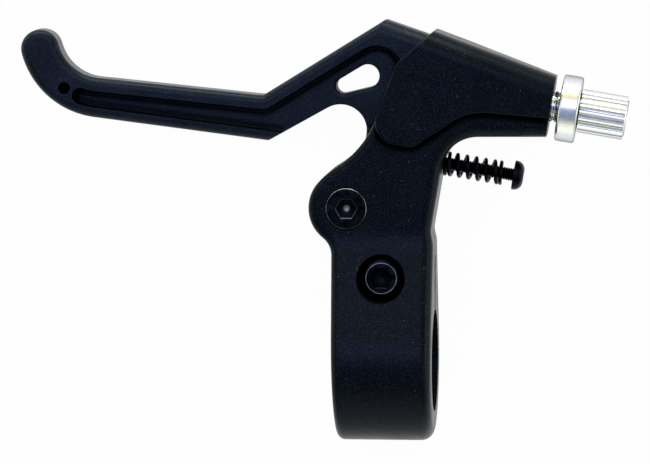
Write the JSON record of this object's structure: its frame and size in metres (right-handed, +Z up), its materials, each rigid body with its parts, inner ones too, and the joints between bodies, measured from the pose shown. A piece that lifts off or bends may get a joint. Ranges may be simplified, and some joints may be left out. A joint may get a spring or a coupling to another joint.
{
  "type": "bicycle brake lever",
  "caption": "Left-hand flat-bar bicycle brake lever: hooked moulded blade in a split-clamp bracket, with a knurled barrel adjuster, lock nut and sprung reach screw.",
  "frame": {"origin": "middle of the bar clamp's bore, on the bar's axis", "axes": "+X along the bar towards the cable end, +Y from the bar out to the lever, +Z up, the side that the bolt heads are on"},
  "size_m": [0.132, 0.0915, 0.0348],
  "materials": {
    "black_plastic": "moulded, fine grain, slight sheen",
    "black_steel": "black oxide",
    "bright_aluminium": "bright turned",
    "bush_brass": "plain turned",
    "washer_nylon": "natural"
  },
  "bodies": {
    "bracket": {"bracket": "black_plastic", "pivot_bolt": "black_steel", "pivot_nut": "black_steel", "upper_pivot_washer": "washer_nylon", "lower_pivot_washer": "washer_nylon", "clamp_bolt": "black_steel", "clamp_nut": "black_steel", "reach_spring": "black_steel"},
    "reach_carrier": {"pivot_bush": "bush_brass"},
    "lever": {"lever_blade": "black_plastic"},
    "reach_screw": {"reach_screw": "black_steel"},
    "lock_nut": {"lock_nut": "bright_aluminium"},
    "barrel_adjuster": {"barrel_adjuster": "bright_aluminium"}
  },
  "joints": [
    {"name": "reach_setting", "type": "hinge", "parent": "bracket", "child": "reach_carrier", "pos_m": [-0.008, 0.0336, 0], "axis": [0, 0, 1], "range_deg": [0, 10]},
    {"name": "lever_squeeze", "type": "hinge", "parent": "reach_carrier", "child": "lever", "pos_m": [-0.008, 0.0336, 0], "axis": [0, 0, 1], "range_deg": [0, 25]},
    {"name": "reach_screw_travel", "type": "slide", "parent": "bracket", "child": "reach_screw", "axis": [-0.9866, 0.1633, 0], "range_m": [0, 0.00202]},
    {"name": "lock_nut_travel", "type": "slide", "parent": "bracket", "child": "lock_nut", "axis": [0.9866, -0.1633, 0], "range_m": [-0.0015, 0.004]},
    {"name": "adjuster_turn", "type": "hinge", "parent": "lock_nut", "child": "barrel_adjuster", "pos_m": [0.0486, 0.05342, 0], "axis": [0.9866, -0.1633, 0], "range_deg": [-540, 1440]}
  ],
  "couplings": [
    {"joint": "reach_setting", "follows": "reach_screw_travel", "rad_per_m": 86.53},
    {"joint": "adjuster_turn", "follows": "lock_nut_travel", "rad_per_m": 6283.2}
  ]
}
